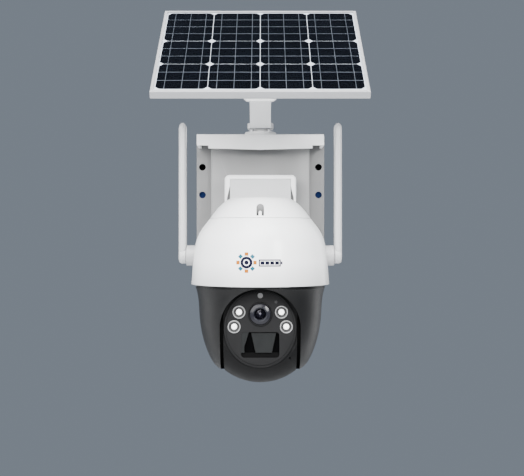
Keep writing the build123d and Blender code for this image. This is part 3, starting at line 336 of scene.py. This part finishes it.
NODE_FINISH = {
    "white_shell": ("upper_shell", "top_cap", "port_cover"),
    "antenna_white_shaded": ("antenna_left", "antenna_right"),
    "hinge_white": ("antenna_base_left", "antenna_base_right"),
    "white_arm_lit": ("neck_arm",),
    "cover_grey_shaded": ("neck_cover",),
    "bracket_paint_shaded": ("wall_plate",),
    "hood_paint_lit": ("roof_hood", "swivel_base", "swivel_arm", "panel_bracket"),
    "frame_paint": ("panel_rail_near", "panel_rail_far", "panel_rail_left", "panel_rail_right"),
    "dark_shell": ("yoke_shell",),
    "dark_ball": ("ball_shell_front", "ball_shell_rear"),
    "dark_face": ("face_plate",),
    "black_trim": ("lens_barrel", "junction_box", "lead_gland", "battery_tray", "chassis_plate",
                   "port_tray", "cheek_plate_left", "cheek_plate_right", "tilt_axles"),
    "sensor_window": ("pir_lens",),
    "ring_white": ("lamp_rings",),
    "sensor_grey": ("light_sensor", "reset_button"),
    "indicator_dark": ("indicator_lamp", "pan_bearing"),
    "backsheet": ("panel_backsheet",),
    "knob_black": ("tilt_knob",),
    "rubber": ("power_button",),
    "gear_resin": ("pan_gear", "pan_pinion", "tilt_gear", "tilt_pinion"),
    "board_green": ("main_board", "camera_board"),
    "cell_wrap": ("battery_cells",),
    "steel": ("arm_screws", "swivel_screws", "bracket_screws", "swivel_bolt", "tilt_bolt"),
    "alloy": ("pan_motor", "tilt_motor", "panel_corner_keys"),
    "ribbon": ("cell_ribbons",),
    "silicon_cells": ("solar_cells",),
    "panel_glass": ("panel_glass",),
    "lens_glass": ("lens_glass",),
    "lamp_resin": ("lamps",),
}


def paint(piece, finish):
    piece.data.materials.clear()
    piece.data.materials.append(MATERIALS[finish])


def paint_nodes():
    for finish, names in NODE_FINISH.items():
        for name in names:
            for material_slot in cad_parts[name].material_slots:
                material_slot.material = MATERIALS[finish]


# ---------------------------------------------------------------- round edges on CAD nodes
SOFT_EDGES = {
    0.0008: ("roof_hood", "neck_arm", "upper_shell", "yoke_shell", "swivel_arm", "panel_bracket",
             "ball_shell_front", "ball_shell_rear", "cheek_plate_left", "cheek_plate_right"),
    0.0004: ("wall_plate", "neck_cover", "top_cap", "port_cover", "swivel_base", "tilt_knob",
             "swivel_bolt", "tilt_bolt", "junction_box", "lead_gland", "panel_rail_near",
             "panel_rail_far", "panel_rail_left", "panel_rail_right"),
    0.0002: ("arm_screws", "swivel_screws", "bracket_screws", "light_sensor", "indicator_lamp"),
}


def soften(name, width):
    """Weld the node's facets and round its sharp edges, as modifiers only."""
    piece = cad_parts[name]
    weld = piece.modifiers.new("weld", "WELD")
    weld.merge_threshold = 0.00001
    bevel = piece.modifiers.new("round", "BEVEL")
    bevel.width = width
    bevel.segments = 2
    bevel.limit_method = "ANGLE"
    bevel.angle_limit = math.radians(38)
    bevel.use_clamp_overlap = True
    bevel.harden_normals = False
    shade = piece.modifiers.new("shade", "WEIGHTED_NORMAL")
    shade.keep_sharp = False
    shade.weight = 60


def soften_nodes():
    for width, names in SOFT_EDGES.items():
        for name in names:
            soften(name, width)


# ---------------------------------------------------------------- mesh helpers
def finish_piece(piece, body, finish, smooth=True):
    paint(piece, finish)
    for face in piece.data.polygons:
        face.use_smooth = smooth
    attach(piece, body)
    return piece


def mesh_object(name, points, faces):
    mesh = bpy.data.meshes.new(name)
    mesh.from_pydata([tuple(p) for p in points], [], faces)
    mesh.validate()
    piece = bpy.data.objects.new(name, mesh)
    bpy.context.scene.collection.objects.link(piece)
    return piece


def lathe(outline, centres, base, turns=48):
    """Points and faces of a closed outline, (radius, depth behind the plane Y = base), spun about -Y."""
    points, faces = [], []
    for x, z in centres:
        start = len(points)
        for turn in range(turns):
            angle = 2 * math.pi * turn / turns
            for radius, depth in outline:
                points.append((x + radius * math.cos(angle), base + depth, z + radius * math.sin(angle)))
        count = len(outline)
        for turn in range(turns):
            here, there = start + turn * count, start + (turn + 1) % turns * count
            for k in range(count):
                after = (k + 1) % count
                faces.append((here + k, here + after, there + after, there + k))
    return points, faces


def tidy_mesh(piece):
    """Merge doubled points at poles and make all faces point outwards."""
    work = bmesh.new()
    work.from_mesh(piece.data)
    bmesh.ops.remove_doubles(work, verts=work.verts, dist=0.000002)
    bmesh.ops.dissolve_degenerate(work, edges=work.edges, dist=0.000001)
    bmesh.ops.recalc_face_normals(work, faces=work.faces)
    work.to_mesh(piece.data)
    work.free()


def turned(name, outline, centres, body, finish, turns=48, base=None):
    base = FACE_Y if base is None else base
    piece = mesh_object(name, *lathe([(r * MM, d * MM) for r, d in outline], centres, base, turns))
    tidy_mesh(piece)
    return finish_piece(piece, body, finish)


def arc(centre_r, centre_d, radius, start, end, steps=8):
    """Outline points on an arc, angles in degrees from +radius towards deeper."""
    found = []
    for step in range(steps + 1):
        angle = math.radians(start + (end - start) * step / steps)
        found.append((centre_r + radius * math.cos(angle), centre_d + radius * math.sin(angle)))
    return found


def dome_outline(radius, rise, back, steps=10):
    """Solid of a shallow dome: rises in front of depth 0 at the middle, flat at depth back."""
    bulge = (radius * radius + rise * rise) / (2 * rise)
    reach = math.degrees(math.asin(radius / bulge))
    face = [(bulge * math.sin(math.radians(reach * n / steps)),
             bulge - rise - bulge * math.cos(math.radians(reach * n / steps))) for n in range(steps + 1)]
    return face + [(radius, back), (0.0, back)]


# ---------------------------------------------------------------- camera face
LENS_X = (GLASS_LOW.x + GLASS_HIGH.x) / 2
LENS_Z = (GLASS_LOW.z + GLASS_HIGH.z) / 2
LENS_R = 11.5
DOME_R, DOME_RISE, DOME_STEPS = 10.1, 2.1, 18
COATING_R, CLEAR_R = 5.5, 5.2                    # the coating starts, the clear middle ends
RING_STEP, CLEAR_STEP = 11, 9                    # steps of the dome where ring and middle end
LAMPS_AT = [(-20.2, 15.5), (20.2, 15.5), (-24.8, 1.6), (24.8, 1.6)]
RING_INNER = 5.15
LAMP_R = 2.75


def shifted(outline, depth):
    return [(r, d + depth) for r, d in outline]


def lens_pieces():
    """Bezel, stepped baffles, dark inner element, its centre, and a front glass with a coated rim."""
    at = [(LENS_X, LENS_Z)]
    front = -1.2
    outline = [(LENS_R, 5.5)] + arc(LENS_R - 0.6, front + 0.6, 0.6, 0, -90, 6)
    outline += arc(LENS_R - 0.9, front + 0.4, 0.4, -90, -180, 4)
    outline += [(LENS_R - 1.3, front + 1.2), (LENS_R - 1.6, front + 1.2), (LENS_R - 1.6, 5.5)]
    bezel = turned("lens_bezel", outline, at, "ball", "black_trim", 96)
    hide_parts("lens_barrel")
    cone = [(9.85, 0.8), (9.2, 1.1), (9.0, 1.6), (8.0, 1.9), (7.8, 2.4), (6.8, 2.6), (6.6, 3.1),
            (5.6, 3.3), (5.4, 3.9), (5.4, 5.5), (9.85, 5.5)]
    turned("lens_baffles", cone, at, "ball", "lens_ring", 96)
    pupil = shifted(dome_outline(5.35, 0.9, 2.0, 10), 3.2)
    turned("lens_inner_element", pupil, at, "ball", "lens_pupil", 72)
    centre = shifted(dome_outline(1.25, 0.35, 0.6, 6), 2.2)
    turned("lens_centre_stop", centre, at, "ball", "lens_centre", 32)
    dome = shifted(dome_outline(DOME_R, DOME_RISE, 0.5, DOME_STEPS), front + 0.9)
    seat = dome[-1][1]
    edge = (dome[RING_STEP][0], seat)
    inner = [point for point in dome[:RING_STEP + 1] if point[0] > COATING_R]
    outer = [point for point in dome[RING_STEP:] if point[0] > COATING_R]
    ring = [(COATING_R, seat)] + inner + [edge]
    turned("lens_coating_ring", ring, at, "ball", "lens_coating_ring", 96)
    turned("lens_front_coating", [edge] + outer, at, "ball", "lens_coating", 96)
    middle = [point for point in dome[:CLEAR_STEP + 1] if point[0] < CLEAR_R]
    middle += [(CLEAR_R, dome[CLEAR_STEP][1]), (CLEAR_R, 1.4), (0.0, 1.4)]
    element = turned("lens_front_element", middle, at, "ball", "lens_glass", 96)
    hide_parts("lens_glass")


def lamp_pieces():
    """Reflector cup, domed lamp with a dimple, and the small chip seen in it, in each of four rings."""
    at = [(x * MM, TILT_Z + z * MM) for x, z in LAMPS_AT]
    ring = arc(RING_INNER + 0.45, 0.0, 0.45, 180, 360, 8)
    front, back = ((edge.y - FACE_Y) / MM for edge in (RING_LOW, RING_HIGH))
    ring = [(r, front + 0.45 + d) for r, d in ring] + [(RING_INNER + 0.9, back), (RING_INNER, back)]
    collars = turned("lamp_collars", ring, at, "ball", "ring_white", 64)
    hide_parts("lamp_rings")
    cup = [(RING_INNER - 0.03, 0.2), (4.2, 1.6), (3.3, 2.0), (LAMP_R + 0.04, 2.2), (LAMP_R + 0.04, 5.0),
           (RING_INNER - 0.03, 5.0)]
    turned("lamp_cups", cup, at, "ball", "cup_grey", 48)
    dome = [(0.0, 0.25), (0.55, 0.25), (0.8, 0.05)]
    dome += arc(LAMP_R - 1.3, 1.3, 1.3, -90, 0, 6) + [(LAMP_R, 5.0), (0.0, 5.0)]
    lamps = turned("lamp_domes", dome, at, "ball", "lamp_resin", 48)
    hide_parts("lamps")
    chip = [(0.0, 0.1), (0.4, 0.14), (0.5, 0.3), (0.0, 0.3)]
    turned("lamp_chips", chip, at, "ball", "chip_grey", 20)


BALL_SIDE, CHEEK_SIDE = 35.25, 38.3
SHADE_RING_INNER, SHADE_RING_OUTER = 24.0, 44.3


def gap_shades():
    """Painted shade: a dark, rough ring round the tilt axis in the slim gap between the ball's flat sides
    and the cheeks.
    """
    for name, side in (("gap_shade_left", -1), ("gap_shade_right", 1)):
        near, far = side * BALL_SIDE * MM, side * CHEEK_SIDE * MM
        inner, outer = SHADE_RING_INNER * MM, SHADE_RING_OUTER * MM
        outline = [(inner, near), (outer, near), (outer, far), (inner, far)]
        points, faces = lathe(outline, [(0.0, 0.0)], 0.0, 96)
        points = [(depth, AXIS_Y + x, TILT_Z + z) for x, depth, z in points]
        piece = mesh_object(name, points, faces)
        tidy_mesh(piece)
        finish_piece(piece, "ball", "gap_shade_black", smooth=False)


# ---------------------------------------------------------------- solar panel
PANEL_AT = Vector((0.0, -0.100, 0.107))          # hinge axis
PANEL_HALF = (101.0, 85.0)
FRAME_WALL = 2.3
GLASS_TOP = 21.1                                 # heights square to the panel, above the hinge
COLUMNS, BANDS = 4, (4, 3, 3)
BORDER_U, BORDER_FAR, BORDER_NEAR, CELL_GAP, CELL_SLANT = 4.4, 4.2, 6.6, 0.55, 3.8
WIRE, LINE = 0.24, 0.36


def on_panel(u, v, w):
    """Place in the frame of a point given in millimetres on the sloping panel."""
    slope = math.radians(PANEL_SLOPE)
    return PANEL_AT + Vector((u, v * math.cos(slope) - w * math.sin(slope),
                              v * math.sin(slope) + w * math.cos(slope))) * MM


def plates(name, outlines, low, high, finish):
    """Flat plates on the panel, each from a closed outline of (u, v)."""
    points, faces = [], []
    for outline in outlines:
        start, count = len(points), len(outline)
        points += [on_panel(u, v, w) for w in (low, high) for u, v in outline]
        faces.append(tuple(start + k for k in reversed(range(count))))
        faces.append(tuple(start + count + k for k in range(count)))
        for k in range(count):
            after = (k + 1) % count
            faces.append((start + k, start + after, start + count + after, start + count + k))
    piece = mesh_object(name, points, faces)
    tidy_mesh(piece)
    return finish_piece(piece, "panel", finish, smooth=False)


def box_outline(left, right, low, high):
    return [(left, low), (right, low), (right, high), (left, high)]


def cut_corners(left, right, low, high, slant):
    return [(left + slant, low), (right - slant, low), (right, low + slant), (right, high - slant),
            (right - slant, high), (left + slant, high), (left, high - slant), (left, low + slant)]


def panel_pieces():
    """Laminate drawn up under the glass's top face, where the glass makes it seem to lie."""
    half_u, half_v = PANEL_HALF
    width = (2 * (half_u - BORDER_U) - (COLUMNS - 1) * CELL_GAP) / COLUMNS
    far = half_v - BORDER_FAR
    depth = (far + half_v - BORDER_NEAR - (len(BANDS) - 1) * CELL_GAP) / sum(BANDS)
    lefts = [BORDER_U - half_u + n * (width + CELL_GAP) for n in range(COLUMNS)]
    cells, wires = [], []
    for band in BANDS:
        near = far - band * depth
        for left in lefts:
            cells.append(cut_corners(left, left + width, near, far, CELL_SLANT))
            wires += [box_outline(left, left + width, far - n * depth - LINE, far - n * depth + LINE)
                      for n in range(1, band)]
            wires += [box_outline(left + share * width - WIRE, left + share * width + WIRE,
                                  near - 0.4, far + 0.4) for share in (1 / 6, 1 / 2, 5 / 6)]
        far = near - CELL_GAP
    u, v = half_u - FRAME_WALL, half_v - FRAME_WALL
    sheet = [box_outline(-u, u, -v, v)]
    plates("panel_film", sheet, GLASS_TOP - 0.55, GLASS_TOP - 0.40, "backsheet")
    field = plates("cell_field", cells, GLASS_TOP - 0.40, GLASS_TOP - 0.28, "silicon_cells")
    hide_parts("solar_cells")
    lines = plates("cell_wires", wires, GLASS_TOP - 0.28, GLASS_TOP - 0.22, "ribbon")
    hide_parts("cell_ribbons")
    cover = plates("panel_cover", sheet, GLASS_TOP - 0.15, GLASS_TOP - 0.01, "panel_glass")
    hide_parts("panel_glass")


# ---------------------------------------------------------------- badge on the housing
BADGE_AT = (-12.7, -85.8)
METER_AT = (8.9, -86.2)
FILM = 0.00012


def shell_point(x, z, lift):
    """Point of the housing's front at x, z in millimetres, lifted off its surface."""
    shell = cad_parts["upper_shell"]
    _, place, normal, _ = shell.ray_cast(Vector((x * MM, -1.0, z * MM)), Vector((0.0, 1.0, 0.0)))
    return place + normal * lift


def film(name, sheets, finish):
    """Thin printed film that follows the housing; a sheet is a grid of (x, z), closed or open."""
    points, faces = [], []
    for rows, closed in sheets:
        wide = len(rows[0])
        tops = [[len(points) + i * wide + j for j in range(wide)] for i in range(len(rows))]
        points += [shell_point(x, z, FILM) for row in rows for x, z in row]
        lows = [[len(points) + i * wide + j for j in range(wide)] for i in range(len(rows))]
        points += [shell_point(x, z, -FILM) for row in rows for x, z in row]
        span = wide if closed else wide - 1
        for i in range(len(rows) - 1):
            for j in range(span):
                k = (j + 1) % wide
                faces.append((tops[i][j], tops[i][k], tops[i + 1][k], tops[i + 1][j]))
                faces.append((lows[i][j], lows[i + 1][j], lows[i + 1][k], lows[i][k]))
        rims = [i for i in (0, len(rows) - 1) if rows[i][0] != rows[i][1]]
        for i in rims:
            for j in range(span):
                k = (j + 1) % wide
                faces.append((tops[i][j], lows[i][j], lows[i][k], tops[i][k]))
        if not closed:
            for j in (0, wide - 1):
                for i in range(len(rows) - 1):
                    faces.append((tops[i][j], tops[i + 1][j], lows[i + 1][j], lows[i][j]))
    piece = mesh_object(name, points, faces)
    tidy_mesh(piece)
    return finish_piece(piece, "bracket", finish, smooth=False)


def disc_sheet(at, inner, outer, steps=4, turns=40):
    rows = []
    for step in range(steps + 1):
        radius = inner + (outer - inner) * step / steps
        rows.append([(at[0] + radius * math.cos(2 * math.pi * t / turns),
                      at[1] + radius * math.sin(2 * math.pi * t / turns)) for t in range(turns)])
    return rows, True


def bar_sheet(at, across, down, turn=0.0, reach=0.0, steps=4):
    """Bar of given width and height, turned about the point and moved out by reach."""
    cos, sin = math.cos(turn), math.sin(turn)
    rows = []
    for i in range(steps + 1):
        row = []
        for j in range(steps + 1):
            u = across * (j / steps - 0.5)
            v = down * (i / steps - 0.5) + reach
            row.append((at[0] + u * cos - v * sin, at[1] + u * sin + v * cos))
        rows.append(row)
    return rows, False


def badge():
    """Generic sun sign with a ring in it, and a charge meter beside it."""
    film("badge_disc", [disc_sheet(BADGE_AT, 0.0, 2.0), disc_sheet(BADGE_AT, 3.0, 5.6)], "badge_navy")
    film("badge_ring", [disc_sheet(BADGE_AT, 2.05, 2.95)], "badge_white")
    for shift, finish in ((0, "badge_amber"), (1, "badge_teal")):
        turns = [math.radians(45 * n + 22.5 * 2 * shift) for n in range(0, 8, 2)]
        film(finish + "_rays", [bar_sheet(BADGE_AT, 3.4, 3.2, turn, 7.9) for turn in turns], finish)
    x, z = METER_AT
    wide, tall, line = 20.4, 6.6, 1.1
    meter = [bar_sheet((x, z + side * (tall - line) / 2), wide, line, steps=10) for side in (-1, 1)]
    meter += [bar_sheet((x + side * (wide - line) / 2, z), line, tall - 2 * line) for side in (-1, 1)]
    meter += [bar_sheet((x + wide / 2 + 0.9, z), 1.4, 2.6)]
    meter += [bar_sheet((x - 6.75 + 4.5 * n, z), 3.6, 3.2) for n in range(4)]
    film("badge_meter", meter, "badge_navy")


# ---------------------------------------------------------------- notch in the cap
NOTCH_HALF, NOTCH_LOW, NOTCH_SPRING = 3.55, -41.7, -33.9
RIB_HALF, RIB_TOP = 1.5, -38.4
SHADE_PLATE_FRONT, SHADE_PLATE_BACK = 38.9, 39.6


def notch_shade_plate():
    """Painted shade: a dark arched plate on the notch's floor, cut away round the rib that stands in it.
    """
    outline = [(-NOTCH_HALF, NOTCH_LOW), (-RIB_HALF, NOTCH_LOW), (-RIB_HALF, RIB_TOP), (RIB_HALF, RIB_TOP),
               (RIB_HALF, NOTCH_LOW), (NOTCH_HALF, NOTCH_LOW), (NOTCH_HALF, NOTCH_SPRING)]
    for step in range(1, 13):
        angle = math.pi * step / 12
        outline.append((NOTCH_HALF * math.cos(angle), NOTCH_SPRING + NOTCH_HALF * math.sin(angle)))
    count = len(outline)
    points = [(x * MM, AXIS_Y - depth * MM, z * MM)
              for depth in (SHADE_PLATE_BACK, SHADE_PLATE_FRONT) for x, z in outline]
    faces = [tuple(range(count)), tuple(range(2 * count - 1, count - 1, -1))]
    faces += [(k, count + k, count + (k + 1) % count, (k + 1) % count) for k in range(count)]
    piece = mesh_object("notch_shade_plate", points, faces)
    tidy_mesh(piece)
    finish_piece(piece, "bracket", "notch_painted_shade", smooth=False)


# ---------------------------------------------------------------- wall holes
HOLE_HALF_X, HOLE_HALF_Z = 64.2, 15.35
PLATE_FRONT = -0.004


def hole_seals():
    """Thin rubber seals in the wall holes, to be pushed through by the screws: black above, blue below."""
    outline = [(0.0, 1.9), (2.9, 1.8), (3.2, 0.9), (3.64, 0.6), (3.64, 3.4), (2.9, 3.4), (2.8, 2.5),
               (0.0, 2.5)]
    for name, z, finish in (("upper_hole_seals", HOLE_HALF_Z, "seal_black"),
                            ("lower_hole_seals", -HOLE_HALF_Z, "seal_navy")):
        at = [(side * HOLE_HALF_X * MM, z * MM) for side in (-1, 1)]
        turned(name, outline, at, "bracket", finish, 40, PLATE_FRONT)


# ---------------------------------------------------------------- stage, lights and camera
def area_light(name, place, aim, size, power, colour=(1.0, 1.0, 1.0)):
    light = bpy.data.lights.new(name, "AREA")
    light.shape = "RECTANGLE"
    light.size, light.size_y = size
    light.energy = power
    light.color = colour
    lamp = bpy.data.objects.new(name, light)
    lamp.location = place
    lamp.rotation_euler = (Vector(aim) - Vector(place)).to_track_quat("-Z", "Y").to_euler()
    bpy.context.scene.collection.objects.link(lamp)


def build_stage():
    size, height = 1.6, CAD_BOX[0][2] - 0.7
    corners = [(-size, -size, height), (size, -size, height), (size, size, height), (-size, size, height)]
    floor = mesh_object("studio_floor", corners, [(0, 1, 2, 3)])
    m = Maker("pale_floor")
    m.link(m.mix(m.spread(m.noise(3.0), 0.0, 1.0), (0.70, 0.71, 0.72), (0.74, 0.745, 0.75)),
           m.shader.inputs["Base Color"])
    m.set(Roughness=0.7)
    floor.data.materials.append(m.material)

    world = bpy.data.worlds.new("studio")
    world.use_nodes = True
    bpy.context.scene.world = world
    world.node_tree.nodes["Background"].inputs["Color"].default_value = (0.185, 0.215, 0.257, 1.0)
    world.node_tree.nodes["Background"].inputs["Strength"].default_value = 1.0

    middle = (0.0, AXIS_Y, -0.03)
    area_light("key_light", (-0.75, -1.75, 0.92), middle, (2.2, 2.0), 145.0)
    area_light("fill_light", (0.72, -1.3, 0.42), middle, (0.32, 0.55), 26.0)
    area_light("top_light", (0.0, -0.75, 1.4), middle, (1.3, 1.0), 66.0)
    area_light("rim_right", (0.9, 0.55, -0.15), middle, (0.35, 1.0), 4.0)
    area_light("rim_left", (-1.2, 0.25, 0.0), middle, (0.8, 1.4), 9.0)
    area_light("back_light", (0.0, 1.4, 0.5), middle, (1.2, 1.2), 10.0)


EYE_HEIGHT = -0.063
EYE_DISTANCE = 1.0
EYE_SIDE = 0.0017


def build_camera():
    data = bpy.data.cameras.new("view_camera")
    data.sensor_width = 36.0
    data.lens = 36.0 * 900 / 524
    data.clip_start = 0.05
    camera = bpy.data.objects.new("view_camera", data)
    camera.location = (EYE_SIDE, -EYE_DISTANCE, EYE_HEIGHT)
    camera.rotation_euler = (math.radians(90), 0.0, 0.0)
    bpy.context.scene.collection.objects.link(camera)
    bpy.context.scene.camera = camera


paint_nodes()
soften_nodes()
lens_pieces()
lamp_pieces()
gap_shades()
panel_pieces()
badge()
notch_shade_plate()
hole_seals()
build_stage()
build_camera()
